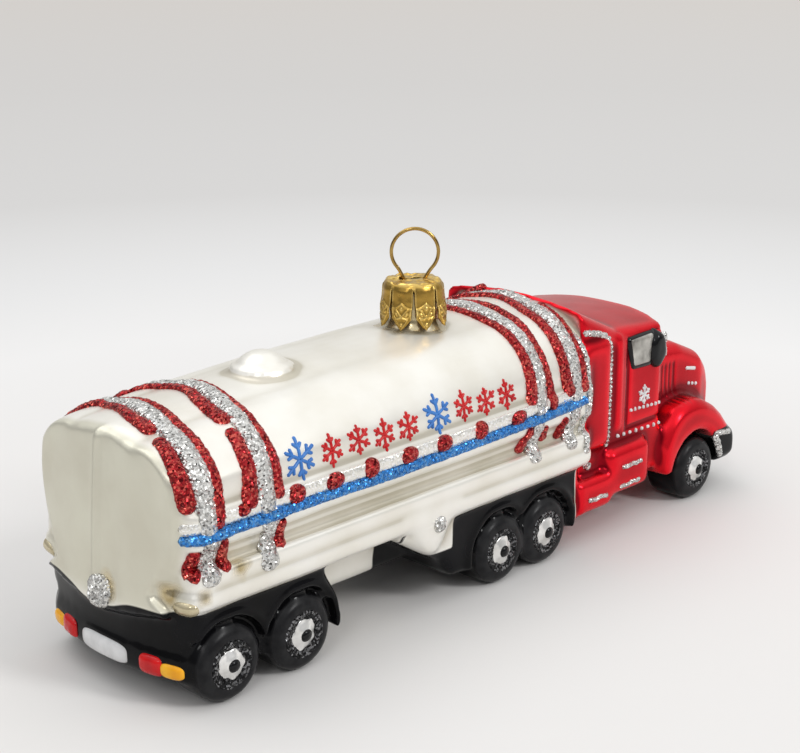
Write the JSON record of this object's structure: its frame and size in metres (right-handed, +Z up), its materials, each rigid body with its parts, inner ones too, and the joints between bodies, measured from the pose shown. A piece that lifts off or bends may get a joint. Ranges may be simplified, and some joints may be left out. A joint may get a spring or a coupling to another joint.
{
  "type": "blown-glass tanker truck ornament",
  "caption": "Hollow blown-glass tanker truck Christmas ornament with raised glitter bands and a lift-off metal cap with a wire hanging ring.",
  "frame": {"origin": "on the floor under the middle of the ornament", "axes": "+X to the nose, +Y to the truck's left, +Z up"},
  "size_m": [0.1561, 0.0422, 0.0646],
  "materials": {
    "lacquered_glass": "satin lacquer over silvered blown glass",
    "gold_cap": "thin stamped sheet, gold plated",
    "gold_wire": "bright drawn wire",
    "silver_glitter": "coarse glitter set in clear glue",
    "red_glitter": "coarse glitter set in clear glue",
    "blue_glitter": "coarse glitter set in clear glue",
    "white_glitter": "fine glitter set in clear glue",
    "black_enamel": "thick glossy enamel",
    "red_enamel": "thick glossy enamel",
    "amber_enamel": "thick glossy enamel",
    "white_enamel": "thick glossy enamel, blank",
    "silver_enamel": "brushed pearly silver paint"
  },
  "bodies": {
    "glass": {"glass_body": "lacquered_glass", "silver_bands": "silver_glitter", "rear_red_bands": "red_glitter", "front_red_bands": "red_glitter", "blue_stripes": "blue_glitter", "white_strips": "white_glitter", "red_dots": "red_glitter", "cab_lines": "silver_glitter", "panel_lines": "silver_glitter", "window_frames": "black_enamel", "window_panes": "silver_enamel", "bracket_dots": "silver_glitter", "mirrors": "black_enamel", "red_lamps": "red_enamel", "amber_lamps": "amber_enamel", "blank_plate": "white_enamel", "seam_clump": "silver_glitter"},
    "cap": {"crown_cap": "gold_cap", "hanger_wire": "gold_wire"}
  },
  "joints": [
    {"name": "cap_lift", "type": "slide", "parent": "glass", "child": "cap", "axis": [0, 0, 1], "range_m": [0, 0.025]}
  ]
}
